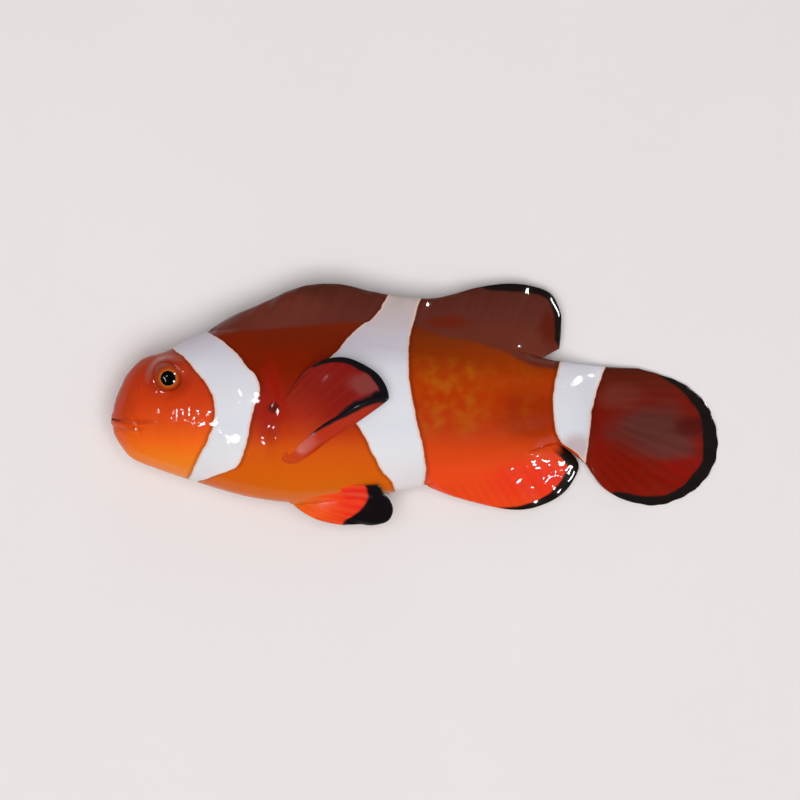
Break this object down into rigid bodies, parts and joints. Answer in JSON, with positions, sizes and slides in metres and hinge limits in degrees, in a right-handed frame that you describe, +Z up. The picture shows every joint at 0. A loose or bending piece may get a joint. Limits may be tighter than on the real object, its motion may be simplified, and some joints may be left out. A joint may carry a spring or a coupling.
{
  "type": "clownfish",
  "caption": "Still life-size clownfish lying on its right side: orange body with white bands, black-edged fins, left side fin raised and partly folded.",
  "frame": {"origin": "centre of the bounding box on the level that the right flank lies on", "axes": "+X from the snout to the tail, +Y from the belly to the back, +Z up out of the left flank"},
  "size_m": [0.08, 0.0318, 0.016],
  "materials": {
    "body_skin": "wet scaled skin, orange to dark red-brown with white bands",
    "fin_skin": "wet fin skin, dark red to bright red with a black edge",
    "eye_gloss": "clear wet eye with a black pupil and an orange iris"
  },
  "bodies": {
    "root": {"head": "body_skin", "lower_jaw": "body_skin", "gill_cover_left": "body_skin", "gill_cover_right": "body_skin", "eye_left": "eye_gloss", "eye_right": "eye_gloss", "trunk": "body_skin", "tail_stalk": "body_skin", "dorsal_fin_front": "fin_skin", "dorsal_fin_rear": "fin_skin", "anal_fin": "fin_skin", "caudal_fin": "fin_skin", "pectoral_fin_left": "fin_skin", "pectoral_fin_right": "fin_skin", "pelvic_fin_left": "fin_skin", "pelvic_fin_right": "fin_skin"}
  },
  "joints": []
}
